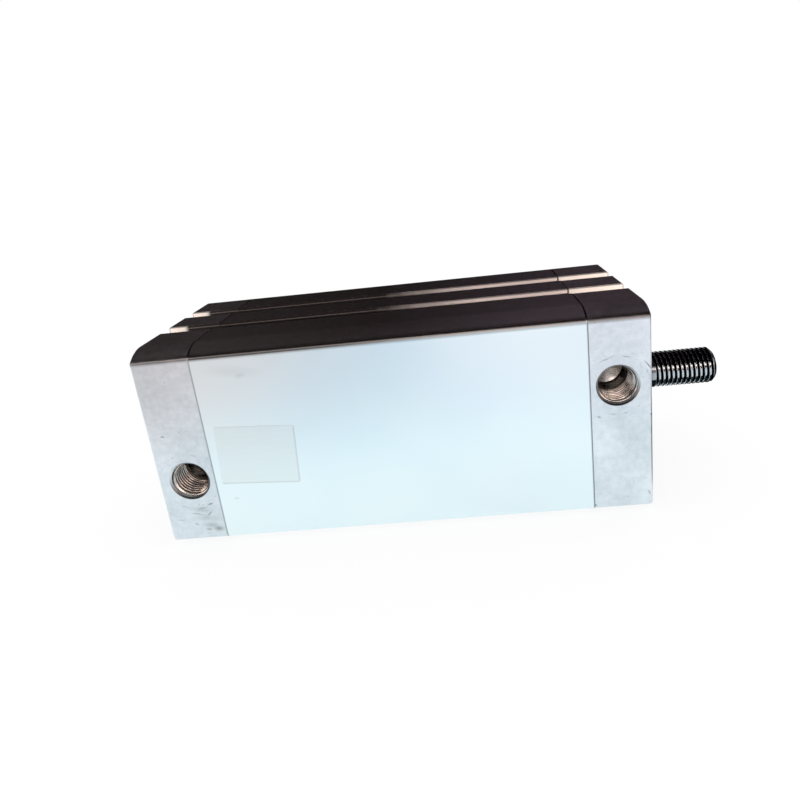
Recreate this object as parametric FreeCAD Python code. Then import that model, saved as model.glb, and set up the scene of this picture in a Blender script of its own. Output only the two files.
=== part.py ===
import FreeCAD
import Part
import math
import os

# Compact pneumatic cylinder, bore 40 mm and stroke 80 mm, lying on a slotted side.
# Millimetres. The rod leaves along +X, both air ports face -Y, and +Z is up.
# The origin is where the rod's axis crosses the mounting face of the bearing cap.

# Driving sizes
bore = 40.0
stroke = 80.0
length = 45.0 + stroke
width = 54.5
rod_diameter = 12.0
screw_spacing = 38.0
slot_opening = 5.2

# Outline shared by barrel and caps: three slotted sides with round corners, one flat port side
half = width / 2
corner_radius = 9.0
back_corner_radius = 6.0
crease_height = 24.8
crease_radius = 1.2
arc_centre_z = half - corner_radius
crease_rise = crease_height - arc_centre_z
port_arc_y = -half + math.sqrt(corner_radius ** 2 - crease_rise ** 2)

# Sensor slots, two on each slotted side
slot_offset = 7.7
slot_inner_width = 6.8
slot_depth = 5.2
slot_lip = 1.2
cap_channel_width = 5.8
slot_sides = (0, 90, 180)

# Caps
cap_length = 14.7
spigot_length = 1.5
spigot_radius = bore / 2 - 0.05
outer_edge_chamfer = 0.4
seam_chamfer = 0.2

# Barrel ends and their sealing rings
seal_seat_radius = 21.7
seal_seat_depth = 1.7
barrel_ring_thickness = 1.6

# Air ports, pipe thread G 1/8, walls at the thread's major diameter
port_from_end = 8.0
port_offset = 8.0
port_thread_radius = 9.73 / 2
port_mouth_radius = 10.6 / 2
port_thread_depth = 9.0
port_drill_radius = 4.4
port_drill_depth = 13.0
port_drill_tip = 2.4
port_tip_radius = 0.4
passage_radius = 2.0
passage_y = -15.0

# Collar screws: M8 shank outside, M6 thread inside, both at the major diameter
screw_head_radius = 4.75
screw_head_length = 11.0
screw_shank_radius = 3.95
screw_shank_length = 15.0
screw_thread_radius = 3.0
screw_thread_depth = 17.0
channel_radius = 4.0

# Rod, its bush and its wiper
rod_radius = rod_diameter / 2
rod_neck = 7.0
rod_thread_radius = 5.0
rod_thread_length = 18.1
rod_end_chamfer = 1.0
flats_across = 10.0
flats_length = 5.0
stud_radius = 4.0
bush_radius = 7.0
bush_clearance = 0.06
wiper_seat_radius = 9.0
wiper_seat_depth = 4.5

# Buffers, in a groove in the face of each cap's spigot
buffer_inner = 10.75
buffer_outer = 14.0
buffer_thickness = 2.5
buffer_proud = 0.3
end_gap = 0.2

# Piston: two halves that clamp a magnet and a guide ring
piston_radius = 19.6
half_flange = 4.6
ring_slot = 2.4
piston_hub_radius = 13.5
seal_groove_start = 1.0
seal_groove_width = 2.6
seal_groove_radius = 16.6
ring_play = 0.1
nut_across = 13.0
nut_height = 4.0
recess_radius = 9.0
recess_depth = 5.0
centring_radius = 4.5
centring_depth = 2.1

# Places along the axis, worked out from the sizes above
x_front_seam = -cap_length
x_rear = -length
x_rear_seam = x_rear + cap_length
x_front_spigot = x_front_seam - spigot_length
x_rear_spigot = x_rear_seam + spigot_length
x_middle = x_rear / 2
x_piston_rear = x_rear_spigot + buffer_proud + end_gap
piston_length = 2 * half_flange + ring_slot
x_piston_front = x_piston_rear + piston_length
screw_places = [(y * screw_spacing / 2, z * screw_spacing / 2) for y in (-1, 1) for z in (-1, 1)]


def vec(x, y, z):
    return FreeCAD.Vector(x, y, z)


def rod_along_x(radius, x_from, x_to, y=0.0, z=0.0):
    # Cylinder parallel to the rod
    return Part.makeCylinder(radius, x_to - x_from, vec(x_from, y, z), vec(1, 0, 0))


def ring(outer, inner, x_from, x_to):
    return rod_along_x(outer, x_from, x_to).cut(rod_along_x(inner, x_from - 1, x_to + 1))


def turned(points):
    # Solid turned about the rod's axis from a closed outline of (x, radius) points
    corners = [vec(x, 0, r) for x, r in points]
    face = Part.Face(Part.makePolygon(corners + corners[:1]))
    return face.revolve(vec(0, 0, 0), vec(1, 0, 0), 360)


def prism(points, x_from, x_to):
    # Straight solid along the rod from a closed outline of (y, z) points
    corners = [vec(x_from, y, z) for y, z in points]
    face = Part.Face(Part.makePolygon(corners + corners[:1]))
    return face.extrude(vec(x_to - x_from, 0, 0))


def arc_edge(centre_y, centre_z, radius, first, last):
    # Arc in the plane x = 0, angles in degrees from +Y towards +Z
    def at(angle):
        turn = math.radians(angle)
        return vec(0, centre_y + radius * math.cos(turn), centre_z + radius * math.sin(turn))
    return Part.Arc(at(first), at((first + last) / 2), at(last)).toShape()


def line_edge(start, end):
    return Part.LineSegment(vec(0, *start), vec(0, *end)).toShape()


def outline_face():
    # The round corners on the port side are cut off by the flat port face, which leaves a crease
    inset = half - back_corner_radius
    cut_angle = math.degrees(math.atan2(crease_rise, -half - port_arc_y))
    edges = [
        line_edge((-half, -crease_height), (-half, crease_height)),
        arc_edge(port_arc_y, arc_centre_z, corner_radius, cut_angle, 90),
        line_edge((port_arc_y, half), (inset, half)),
        arc_edge(inset, inset, back_corner_radius, 90, 0),
        line_edge((half, inset), (half, -inset)),
        arc_edge(inset, -inset, back_corner_radius, 0, -90),
        line_edge((inset, -half), (port_arc_y, -half)),
        arc_edge(port_arc_y, -arc_centre_z, corner_radius, -90, -cut_angle),
    ]
    return Part.Face(Part.Wire(edges))


def block(x_from, x_to):
    # Straight length of the outline, with both creases slightly rounded
    face = outline_face()
    face.translate(vec(x_from, 0, 0))
    body = face.extrude(vec(x_to - x_from, 0, 0))
    creases = []
    for edge in body.Edges:
        middle = edge.CenterOfMass
        if abs(middle.y + half) < 1e-6 and abs(abs(middle.z) - crease_height) < 1e-6:
            creases.append(edge)
    return body.makeFillet(crease_radius, creases)


def on_slotted_sides(cutter):
    # Copies of a cutter made for the upper side, turned onto all three slotted sides
    copies = []
    for turn in slot_sides:
        for mirrored in (False, True):
            copy = cutter.copy()
            if mirrored:
                copy = copy.mirror(vec(0, 0, 0), vec(0, 1, 0))
            copy.rotate(vec(0, 0, 0), vec(1, 0, 0), -turn)
            copies.append(copy)
    return copies


def slot_outline(has_lips):
    # Section of one slot in the upper side, with or without the lips that hold a sensor
    above = half + 1.0
    floor = half - slot_depth
    if not has_lips:
        channel = cap_channel_width / 2
        return [
            (slot_offset - channel, above),
            (slot_offset - channel, floor),
            (slot_offset + channel, floor),
            (slot_offset + channel, above),
        ]
    mouth = slot_opening / 2
    lip = half - slot_lip
    inner = slot_inner_width / 2
    return [
        (slot_offset - mouth, above),
        (slot_offset - mouth, lip),
        (slot_offset - inner, lip),
        (slot_offset - inner, floor),
        (slot_offset + inner, floor),
        (slot_offset + inner, lip),
        (slot_offset + mouth, lip),
        (slot_offset + mouth, above),
    ]


def barrel():
    shell = block(x_rear_seam, x_front_seam)
    cutters = on_slotted_sides(prism(slot_outline(True), x_rear_seam - 1, x_front_seam + 1))
    cutters.append(rod_along_x(bore / 2, x_rear_seam - 1, x_front_seam + 1))
    cutters.append(rod_along_x(seal_seat_radius, x_front_seam - seal_seat_depth, x_front_seam + 1))
    cutters.append(rod_along_x(seal_seat_radius, x_rear_seam - 1, x_rear_seam + seal_seat_depth))
    for y, z in screw_places:
        cutters.append(rod_along_x(channel_radius, x_rear_seam - 1, x_front_seam + 1, y, z))
    return shell.cut(cutters)


def outline_edges(solid, x):
    # Edges of the outline in the plane at x
    found = []
    for edge in solid.Edges:
        box = edge.BoundBox
        if abs(box.XMin - x) < 1e-6 and abs(box.XMax - x) < 1e-6:
            found.append(edge)
    return found


def port_cutters():
    # Tapped and drilled hole from the port face, its chamfered mouth, and the passage into the bore
    x = -port_from_end
    z = port_offset
    inwards = vec(0, 1, 0)
    mouth_depth = port_mouth_radius - port_thread_radius
    mouth = Part.makeCone(port_mouth_radius + 1, port_thread_radius, mouth_depth + 1, vec(x, -half - 1, z), inwards)
    thread = Part.makeCylinder(port_thread_radius, port_thread_depth, vec(x, -half, z), inwards)
    drill = Part.makeCylinder(port_drill_radius, port_drill_depth, vec(x, -half, z), inwards)
    drill_floor = vec(x, -half + port_drill_depth, z)
    tip = Part.makeCone(port_drill_radius, port_tip_radius, port_drill_tip, drill_floor, inwards)
    passage = rod_along_x(passage_radius, x_front_spigot - 1, x - 1, passage_y, z)
    return [mouth, thread, drill.fuse(tip), passage]


def cap_blank():
    # What both caps share, in the place of the bearing cap
    body = block(x_front_seam, 0)
    body = body.makeChamfer(outer_edge_chamfer, outline_edges(body, 0))
    body = body.makeChamfer(seam_chamfer, outline_edges(body, x_front_seam))
    body = body.fuse(rod_along_x(spigot_radius, x_front_spigot, x_front_seam + 1))
    cutters = on_slotted_sides(prism(slot_outline(False), x_front_seam - 1, 1))
    cutters += port_cutters()
    for y, z in screw_places:
        cutters.append(rod_along_x(screw_head_radius + 0.05, -screw_head_length, 1, y, z))
        cutters.append(rod_along_x(channel_radius + 0.1, x_front_seam - 1, 0, y, z))
    groove_floor = x_front_spigot + buffer_thickness - buffer_proud
    cutters.append(ring(buffer_outer + 0.05, buffer_inner - 0.05, x_front_spigot - 1, groove_floor))
    return body.cut(cutters).removeSplitter()


def to_rear(shape):
    # The rear end repeats the front end, turned half a turn about Y at the middle of the body
    turned_shape = shape.copy()
    turned_shape.rotate(vec(x_middle, 0, 0), vec(0, 1, 0), 180)
    return turned_shape


def bearing_cap():
    bush_bore = rod_along_x(bush_radius, x_front_spigot - 1, 1)
    wiper_seat = rod_along_x(wiper_seat_radius, -wiper_seat_depth, 1)
    return cap_blank().cut([bush_bore, wiper_seat])


def end_cap():
    # Blind: a recess for the nut inside and a centring hole outside
    recess = rod_along_x(recess_radius, x_rear_spigot - recess_depth, x_rear_spigot + 1)
    centring = rod_along_x(centring_radius, x_rear - 1, x_rear + centring_depth)
    return to_rear(cap_blank()).cut([recess, centring])


def collar_screws():
    # One screw turned from a half section, then copied to the four corners of the bearing cap
    # Its head lies flush with the cap, and the mounting screw goes into the thread inside it
    neck = -screw_head_length
    tip = neck - screw_shank_length
    screw = turned([
        (0, screw_thread_radius),
        (0, screw_head_radius - 0.4),
        (-0.4, screw_head_radius),
        (neck, screw_head_radius),
        (neck, screw_shank_radius),
        (tip + 0.8, screw_shank_radius),
        (tip, screw_shank_radius - 0.8),
        (tip, 0),
        (-screw_thread_depth, 0),
        (-screw_thread_depth, screw_thread_radius),
    ])
    screws = []
    for y, z in screw_places:
        copy = screw.copy()
        copy.translate(vec(0, y, z))
        screws.append(copy)
    return Part.makeCompound(screws)


def piston_rod():
    # Stud through the piston, polished rod, neck with two wrench flats, threaded end
    shoulder = rod_neck
    tip = rod_neck + rod_thread_length
    stud_end = x_piston_rear - nut_height - 0.7
    bar = turned([
        (stud_end, 0),
        (stud_end, stud_radius - 0.7),
        (stud_end + 0.7, stud_radius),
        (x_piston_front, stud_radius),
        (x_piston_front, rod_radius),
        (shoulder - 0.6, rod_radius),
        (shoulder, rod_radius - 0.6),
        (shoulder, rod_thread_radius),
        (tip - rod_end_chamfer, rod_thread_radius),
        (tip, rod_thread_radius - rod_end_chamfer),
        (tip, 0),
    ])
    slab = Part.makeBox(flats_length, rod_diameter, rod_radius, vec(shoulder - flats_length, -rod_radius, flats_across / 2))
    return bar.cut([slab, slab.mirror(vec(0, 0, 0), vec(0, 0, 1))])


def piston_half_outline():
    # Half section measured from the outer face inwards: flange with seal groove, then the hub
    groove_end = seal_groove_start + seal_groove_width
    hub_end = half_flange + ring_slot / 2
    return [
        (0, stud_radius + 0.02),
        (0, piston_radius - 0.5),
        (0.5, piston_radius),
        (seal_groove_start, piston_radius),
        (seal_groove_start, seal_groove_radius),
        (groove_end, seal_groove_radius),
        (groove_end, piston_radius),
        (half_flange, piston_radius),
        (half_flange, piston_hub_radius),
        (hub_end, piston_hub_radius),
        (hub_end, stud_radius + 0.02),
    ]


def piston_front_half():
    # The front half also has the groove for the ring that seals it to the rod's stud
    body = turned([(x_piston_front - u, r) for u, r in piston_half_outline()])
    return body.cut(ring(5.5, 1.0, x_piston_front - 3.4, x_piston_front - 1.6))


def piston_rear_half():
    return turned([(x_piston_rear + u, r) for u, r in piston_half_outline()])


def piston_magnet():
    start = x_piston_rear + half_flange + ring_play
    return ring(17.6, piston_hub_radius + ring_play, start, start + ring_slot - 2 * ring_play)


def piston_guide_ring():
    start = x_piston_rear + half_flange + ring_play
    return ring(bore / 2 - 0.08, 17.7, start, start + ring_slot - 2 * ring_play)


def lip_seal(x_open, inwards):
    # Ring with two lips that spread towards the pressure side; inwards is the sign along X
    base = seal_groove_radius + ring_play
    lip = bore / 2 - 0.1
    wide = seal_groove_width - 2 * ring_play
    profile = [
        (0, base),
        (0, base + 0.7),
        (1.2, base + 1.4),
        (0, lip - 0.5),
        (0, lip),
        (0.5, lip),
        (wide, lip - 0.6),
        (wide, base),
    ]
    return turned([(x_open + inwards * u, r) for u, r in profile])


def piston_front_seal():
    return lip_seal(x_piston_front - seal_groove_start - ring_play, -1)


def piston_rear_seal():
    return lip_seal(x_piston_rear + seal_groove_start + ring_play, 1)


def o_ring(x, middle_radius, thickness):
    # Ring turned from an eight-sided section, enough for a sealed cord this thin
    angles = [math.radians(22.5 + 45 * i) for i in range(8)]
    reach = thickness / 2
    return turned([(x + reach * math.cos(a), middle_radius + reach * math.sin(a)) for a in angles])


def piston_o_ring():
    return o_ring(x_piston_front - 2.5, 4.78, 1.4)


def piston_nut():
    # Hexagon with both ends chamfered by the turned envelope
    corner = nut_across / math.sqrt(3)
    angles = [math.radians(60 * i) for i in range(6)]
    hexagon = [(corner * math.cos(a), corner * math.sin(a)) for a in angles]
    x_end = x_piston_rear - nut_height
    body = prism(hexagon, x_end, x_piston_rear)
    envelope = turned([
        (x_end, stud_radius + 0.02),
        (x_end, nut_across / 2),
        (x_end + 0.6, corner),
        (x_piston_rear - 0.6, corner),
        (x_piston_rear, nut_across / 2),
        (x_piston_rear, stud_radius + 0.02),
    ])
    return body.common(envelope)


def front_buffer():
    start = x_front_spigot - buffer_proud
    return ring(buffer_outer, buffer_inner, start, start + buffer_thickness)


def rod_bearing_bush():
    return ring(bush_radius - 0.01, rod_radius + bush_clearance, x_front_spigot, -wiper_seat_depth)


def rod_wiper_seal():
    # Ring that fills its seat, with a lip round the rod at the outer end
    outer = wiper_seat_radius - 0.02
    inner = rod_radius + 0.08
    floor = -wiper_seat_depth + 0.02
    return turned([
        (floor, inner + 0.6),
        (floor, outer),
        (-0.6, outer),
        (-0.2, outer - 0.4),
        (-0.2, inner + 0.9),
        (-0.5, inner),
        (-1.5, inner),
        (-2.3, inner + 0.6),
    ])


def front_barrel_o_ring():
    middle = (seal_seat_radius + spigot_radius) / 2
    return o_ring(x_front_seam - seal_seat_depth / 2, middle, barrel_ring_thickness)


pieces = {
    "barrel": barrel(),
    "bearing_cap": bearing_cap(),
    "end_cap": end_cap(),
    "front_collar_screws": collar_screws(),
    "rear_collar_screws": to_rear(collar_screws()),
    "front_barrel_o_ring": front_barrel_o_ring(),
    "rear_barrel_o_ring": to_rear(front_barrel_o_ring()),
    "front_buffer": front_buffer(),
    "rear_buffer": to_rear(front_buffer()),
    "rod_bearing_bush": rod_bearing_bush(),
    "rod_wiper_seal": rod_wiper_seal(),
    "piston_rod": piston_rod(),
    "piston_front_half": piston_front_half(),
    "piston_rear_half": piston_rear_half(),
    "piston_magnet": piston_magnet(),
    "piston_guide_ring": piston_guide_ring(),
    "piston_front_seal": piston_front_seal(),
    "piston_rear_seal": piston_rear_seal(),
    "piston_o_ring": piston_o_ring(),
    "piston_nut": piston_nut(),
}

os.makedirs("parts", exist_ok=True)
for name, shape in pieces.items():
    shape.exportStep("parts/" + name + ".step")
    box = shape.BoundBox
    print(name, "valid", shape.isValid(), "solids", len(shape.Solids), "volume", round(shape.Volume))
    print("  x", round(box.XMin, 2), round(box.XMax, 2), "z", round(box.ZMin, 2), round(box.ZMax, 2))
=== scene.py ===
import bpy
import math
import numpy as np
from mathutils import Matrix, Vector


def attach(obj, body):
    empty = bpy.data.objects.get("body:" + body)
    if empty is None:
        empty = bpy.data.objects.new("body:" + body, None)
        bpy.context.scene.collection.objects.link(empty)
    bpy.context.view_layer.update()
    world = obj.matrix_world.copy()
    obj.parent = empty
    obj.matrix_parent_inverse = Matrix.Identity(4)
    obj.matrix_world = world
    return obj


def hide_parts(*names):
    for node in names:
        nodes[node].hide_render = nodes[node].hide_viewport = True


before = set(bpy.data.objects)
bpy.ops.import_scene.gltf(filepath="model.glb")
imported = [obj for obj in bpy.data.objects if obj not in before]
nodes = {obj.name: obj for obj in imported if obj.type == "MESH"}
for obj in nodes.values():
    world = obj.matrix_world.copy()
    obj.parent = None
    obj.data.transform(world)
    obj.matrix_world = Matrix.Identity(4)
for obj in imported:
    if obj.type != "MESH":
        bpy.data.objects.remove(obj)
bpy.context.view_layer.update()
mm = 0.001
# Places that several pieces share, in mm
bodyLength = 125.0
portFace = -27.25  # Y of the flat side with the ports
frontPort = (-8.0, 8.0)  # X and Z of the ports' axes
rearPort = (-117.0, -8.0)
screwPlaces = [(y, z) for y in (-19.0, 19.0) for z in (-19.0, 19.0)]
print("frame loaded with", len(nodes), "nodes")


# sRGB hex colour to linear values
def hexColour(code):
    srgb = np.array([int(code[i:i + 2], 16) for i in (1, 3, 5)]) / 255
    linear = np.where(srgb <= 0.04045, srgb / 12.92, ((srgb + 0.055) / 1.055) ** 2.4)
    return (*[float(v) for v in linear], 1.0)


# One shader node: settings go to its properties. An input is a plain value, a hex colour,
# a socket to link from, or a node, which stands for its first output.
def addNode(tree, kind, settings=None, inputs=None):
    node = tree.nodes.new("ShaderNode" + kind)
    for key, value in (settings or {}).items():
        setattr(node, key, value)
    for key, value in (inputs or {}).items():
        if isinstance(value, bpy.types.Node):
            value = value.outputs[0]
        if isinstance(value, bpy.types.NodeSocket):
            tree.links.new(value, node.inputs[key])
        else:
            node.inputs[key].default_value = hexColour(value) if isinstance(value, str) else value
    return node


# Empty material, and the Object coordinates in millimetres that its patterns read
def startMaterial(name):
    material = bpy.data.materials.new(name)
    material.use_nodes = True
    tree = material.node_tree
    tree.nodes.clear()
    metres = addNode(tree, "TexCoord").outputs["Object"]
    place = addNode(tree, "VectorMath", {"operation": "SCALE"}, {"Vector": metres, "Scale": 1 / mm})
    return material, tree, place


# Surface shader of a material, from plain numbers and patterns
def addSurface(tree, surface):
    shader = addNode(tree, "BsdfPrincipled", None, surface)
    addNode(tree, "OutputMaterial", None, {"Surface": shader})


# Grids of points (rows, columns, 3) in mm to one closed mesh in metres.
# Columns run round and join. Rows run along: they join too where loop is set,
# and otherwise the first and last row are each closed with a fan to their middle.
def gridPiece(name, grids, loop=False, sharpAngle=40.0):
    points = []
    faces = []
    start = 0
    for grid in grids:
        rows, columns = grid.shape[:2]
        index = start + np.arange(rows * columns).reshape(rows, columns)
        beside = np.roll(index, -1, axis=1)
        above = np.roll(index, -1, axis=0)
        aboveBeside = np.roll(beside, -1, axis=0)
        quads = np.stack([index, beside, aboveBeside, above], axis=-1)
        faces += quads[:rows if loop else rows - 1].reshape(-1, 4).tolist()
        points.append(grid.reshape(-1, 3))
        start += rows * columns
        if not loop:
            points.append(grid[[0, -1]].mean(axis=1))
            faces += np.stack([beside[0], index[0], np.full(columns, start)], axis=-1).tolist()
            faces += np.stack([index[-1], beside[-1], np.full(columns, start + 1)], axis=-1).tolist()
            start += 2
    mesh = bpy.data.meshes.new(name)
    mesh.from_pydata((np.concatenate(points) * mm).tolist(), [], faces)
    mesh.polygons.foreach_set("use_smooth", np.ones(len(mesh.polygons), bool))
    mesh.set_sharp_from_angle(angle=math.radians(sharpAngle))
    mesh.update()
    piece = bpy.data.objects.new(name, mesh)
    bpy.context.scene.collection.objects.link(piece)
    return piece


# Height of a screw thread from 0 at the root to 1 at the crest, over one pitch: flanks between
# a crest and a root of given shares, part straight and part a smooth S, so that corners are soft
def threadWave(phase, s):
    smoothPart = 0.55
    away = np.abs((phase % 1.0) - 0.5) * 2
    flank = np.clip((away - s["rootShare"]) / (1 - s["rootShare"] - s["crestShare"]), 0, 1)
    return (1 - smoothPart) * flank + smoothPart * flank * flank * (3 - 2 * flank)


# Camera as fitted to the corners, seams and ports of the photograph
cameraView = {
    "place": (-42.613, -158.421, 66.074),
    "azimuth": -3.469,
    "elevation": -15.258,
    "roll": -6.468,
    "sensor": 36.0,
    "lens": 26.34,
    "shift": (-0.0385, -0.1084),
    "nearest": 5.0,
}


def addCamera(view):
    azimuth, elevation, roll = (math.radians(view[k]) for k in ("azimuth", "elevation", "roll"))
    level = math.cos(elevation)
    forward = Vector((math.sin(azimuth) * level, math.cos(azimuth) * level, math.sin(elevation)))
    side = forward.cross(Vector((0, 0, 1))).normalized()
    above = side.cross(forward)
    right = math.cos(roll) * side + math.sin(roll) * above
    up = right.cross(forward)
    data = bpy.data.cameras.new("photoCamera")
    data.sensor_width = view["sensor"]
    data.lens = view["lens"]
    data.shift_x, data.shift_y = view["shift"]
    data.clip_start = view["nearest"] * mm
    camera = bpy.data.objects.new("photoCamera", data)
    bpy.context.scene.collection.objects.link(camera)
    turn = Matrix((right, up, -forward)).transposed()
    camera.matrix_world = Matrix.Translation(Vector(view["place"]) * mm) @ turn.to_4x4()
    bpy.context.scene.camera = camera


addCamera(cameraView)
print("camera placed")


# Piston rod: radius as a function of the place along the rod and the angle round it.
# A stud, the polished bar, the neck with two wrench flats, and an M10 x 1.25 thread
# that follows place / pitch - angle / turn, run out at the shoulder and cut by the end chamfer.
rodShape = {
    "studEnd": -113.0,
    "studRadius": 4.0,
    "studChamfer": 0.7,
    "barStart": -96.7,
    "barRadius": 6.0,
    "barChamfer": 0.3,
    "barRows": 12,
    "flatsStart": 2.0,
    "flatsHalf": 5.0,
    "shoulder": 7.0,
    "shoulderChamfer": 0.6,
    "tip": 25.1,
    "tipChamfer": 1.0,
    "threadRadius": 5.0,
    "threadCore": 4.23,
    "pitch": 1.25,
    "crestShare": 0.36,
    "rootShare": 0.12,
    "runOut": (8.1, 9.2),
    "samplesPerPitch": 18,
    "columns": 92,
}


def rodGrid(s):
    edge = 0.01  # between the two rows of a sharp step
    flatAngle = math.asin(s["flatsHalf"] / s["barRadius"])
    turns = np.linspace(0, 2 * math.pi, s["columns"], endpoint=False)
    corners = np.array([flatAngle, math.pi - flatAngle, math.pi + flatAngle, 2 * math.pi - flatAngle])
    angle = np.sort(np.concatenate([turns, corners]))
    studFull = s["studEnd"] + s["studChamfer"]
    threadRows = int((s["tip"] - s["shoulder"]) / s["pitch"] * s["samplesPerPitch"])
    places = np.concatenate([
        [s["studEnd"], studFull, studFull + 2 * edge, s["barStart"] - edge, s["barStart"]],
        np.linspace(s["barStart"] + s["barChamfer"], s["flatsStart"] - edge, s["barRows"]),
        [s["flatsStart"], s["shoulder"] - s["shoulderChamfer"], s["shoulder"] - edge],
        np.linspace(s["shoulder"], s["tip"], threadRows),
    ])
    x, turn = np.meshgrid(places, angle, indexing="ij")
    stud = x < s["barStart"] - edge / 2
    studTaper = s["studRadius"] - s["studChamfer"] + (x - s["studEnd"])
    radius = np.where(stud, np.minimum(s["studRadius"], studTaper), s["barRadius"])
    barEnd = ~stud & (x < s["barStart"] + s["barChamfer"] / 2)
    radius = np.where(barEnd, s["barRadius"] - s["barChamfer"], radius)
    flats = (x >= s["flatsStart"]) & (x < s["shoulder"])
    flat = s["flatsHalf"] / np.maximum(np.abs(np.sin(turn)), edge)
    radius = np.where(flats, np.minimum(radius, flat), radius)
    chamfer = s["shoulder"] - x + s["barRadius"] - s["shoulderChamfer"]
    chamfered = np.minimum(radius, np.maximum(chamfer, s["threadRadius"]))
    depth = np.clip((x - s["runOut"][0]) / (s["runOut"][1] - s["runOut"][0]), 0, 1)
    wave = threadWave(x / s["pitch"] - turn / (2 * math.pi), s)
    thread = s["threadRadius"] - (s["threadRadius"] - s["threadCore"]) * depth * (1 - wave)
    thread = np.minimum(thread, s["threadRadius"] - s["tipChamfer"] + (s["tip"] - x))
    radius = np.where(x < s["shoulder"], chamfered, thread)
    return np.stack([x, radius * np.cos(turn), radius * np.sin(turn)], axis=-1)


rodPiece = gridPiece("rod_with_thread", [rodGrid(rodShape)])
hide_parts("piston_rod")
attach(rodPiece, "rod_set")
print("rod made")


# Threaded sleeves that line the CAD holes: the section is a loop that runs in along the helical
# wall, radius = root - height * wave, and back along a plain outer wall inside the metal.
portThread = {
    "name": "port_threads",
    "holes": [((x, portFace, z), (0, 1, 0)) for x, z in (frontPort, rearPort)],
    "start": 0.43,
    "end": 9.0,
    "crest": 4.29,
    "root": 4.85,
    "outer": 5.0,
    "lead": 1.2,
    "runOut": 1.6,
    "pitch": 0.907,
    "crestShare": 0.2,
    "rootShare": 0.16,
    "samplesPerPitch": 14,
    "columns": 88,
    "slot": "cap_aluminium",
}
frontScrewThread = {
    "name": "front_screw_threads",
    "holes": [((0.0, y, z), (-1, 0, 0)) for y, z in screwPlaces],
    "start": 0.02,
    "end": 16.9,
    "crest": 2.46,
    "root": 2.99,
    "outer": 3.2,
    "lead": 0.6,
    "runOut": 1.5,
    "pitch": 1.0,
    "crestShare": 0.2,
    "rootShare": 0.16,
    "samplesPerPitch": 8,
    "columns": 36,
    "slot": "zinc_plated_steel",
}
rearScrewThread = dict(frontScrewThread)
rearScrewThread["name"] = "rear_screw_threads"
rearScrewThread["holes"] = [((-bodyLength, y, z), (1, 0, 0)) for y, z in screwPlaces]


def sleeveGrid(s, mouth, inwards):
    inwards = np.array(inwards, float)
    across = np.array([0.0, 0.0, 1.0])
    beside = np.cross(across, inwards)
    rows = int((s["end"] - s["start"]) / s["pitch"] * s["samplesPerPitch"])
    deep = np.linspace(s["start"], s["end"], rows)
    angle = np.linspace(0, 2 * math.pi, s["columns"], endpoint=False)
    depth, turn = np.meshgrid(deep, angle, indexing="ij")
    height = s["root"] - s["crest"]
    cut = np.clip((s["end"] - depth) / s["runOut"], 0, 1)
    wave = threadWave(depth / s["pitch"] + turn / (2 * math.pi), s)
    radius = s["root"] - height * wave * cut
    radius = np.maximum(radius, s["root"] - (depth - s["start"]) / s["lead"] * height)
    back = np.array([[s["end"]], [s["start"]]]) + np.zeros((2, s["columns"]))
    depth = np.concatenate([depth, back])
    turn = np.concatenate([turn, turn[:2]])
    radius = np.concatenate([radius, np.full_like(back, s["outer"])])
    ring = np.cos(turn)[..., None] * across + np.sin(turn)[..., None] * beside
    return np.array(mouth) + depth[..., None] * inwards + radius[..., None] * ring


sleeves = {}
for shape in (portThread, frontScrewThread, rearScrewThread):
    grids = [sleeveGrid(shape, mouth, inwards) for mouth, inwards in shape["holes"]]
    sleeve = gridPiece(shape["name"], grids, loop=True, sharpAngle=60.0)
    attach(sleeve, "cylinder_body")
    sleeves[shape["name"]] = sleeve
print("threads made")


# Bare rating plate on the port face. Its outline is a small circle whose four quarters are pushed
# out to the corners. Rings of that outline run from the middle of the underside out to the edge,
# up the thin edge, and back to the middle over the outer face. Each ring has its share of the
# outline and its lift from the port face as a share of the thickness.
plateShape = {
    "middle": (-98.1, portFace, -2.2),
    "size": (20.3, 15.9),
    "corner": 0.5,
    "turn": 3.4,
    "thick": 0.05,
    "ringShares": (0.02, 1.0, 1.0, 0.997, 0.5, 0.02),
    "ringLifts": (-0.2, -0.2, 0.6, 1.0, 1.0, 1.0),
    "columns": 32,
}


def plateGrid(s):
    angle = (np.arange(s["columns"]) + 0.5) * 2 * math.pi / s["columns"]
    unit = np.stack([np.cos(angle), np.sin(angle)], axis=-1)
    outline = s["corner"] * unit + np.sign(unit) * (np.array(s["size"]) / 2 - s["corner"])
    tilt = math.radians(s["turn"])
    spin = np.array([[math.cos(tilt), math.sin(tilt)], [-math.sin(tilt), math.cos(tilt)]])
    lift = np.array(s["ringLifts"]) * s["thick"]
    flat = np.array(s["ringShares"])[:, None, None] * (outline @ spin.T)
    y = np.broadcast_to(s["middle"][1] - lift[:, None], flat.shape[:2])
    return np.stack([s["middle"][0] + flat[..., 0], y, s["middle"][2] + flat[..., 1]], axis=-1)


platePiece = gridPiece("rating_plate", [plateGrid(plateShape)], sharpAngle=15.0)
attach(platePiece, "cylinder_body")
print("plate made")


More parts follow.
